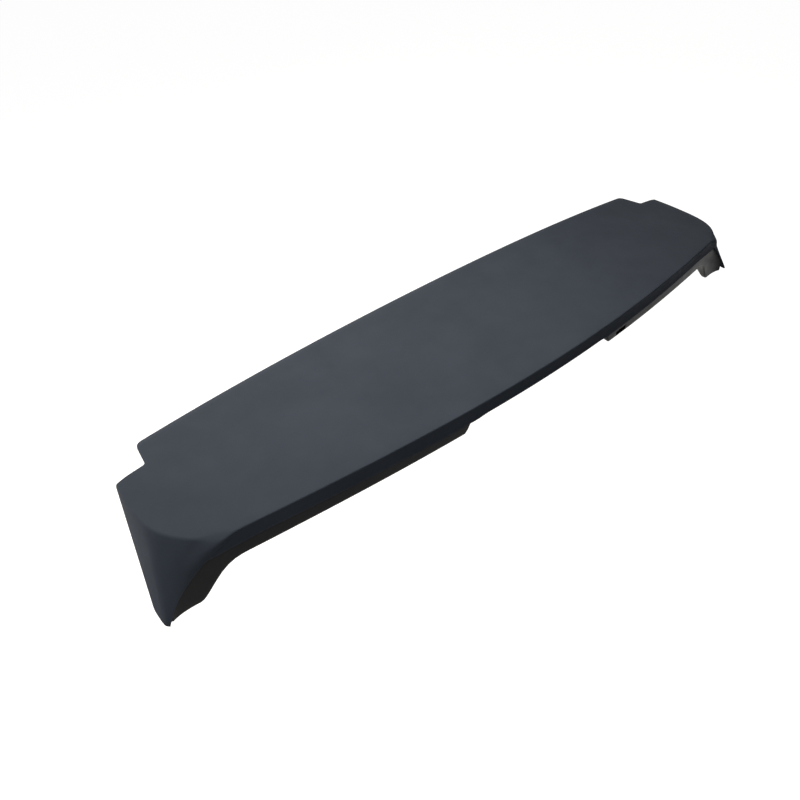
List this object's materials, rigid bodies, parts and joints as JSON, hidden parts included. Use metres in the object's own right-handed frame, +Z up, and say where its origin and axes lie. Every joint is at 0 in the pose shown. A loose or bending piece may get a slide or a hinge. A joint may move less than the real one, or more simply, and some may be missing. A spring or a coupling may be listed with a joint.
{
  "type": "tailgate spoiler",
  "caption": "Primed tailgate spoiler with drooping end fins over a black under panel, with a lamp recess, fixing studs, foam seals and push clips",
  "frame": {"origin": "midway between the two outer fixing studs, on the plane of their seats", "axes": "+X across the car, +Y to the front of the car, +Z up"},
  "size_m": [1.2084, 0.2686, 0.1253],
  "materials": {
    "primer": "satin",
    "black_plastic": "matte",
    "plated_steel": "satin",
    "foam": "matte",
    "clip_plastic": "satin"
  },
  "bodies": {
    "root": {"outer_skin": "primer", "under_panel": "black_plastic", "fixing_studs": "plated_steel", "stud_seals": "foam", "push_clips": "clip_plastic", "front_seal": "foam"}
  },
  "joints": []
}
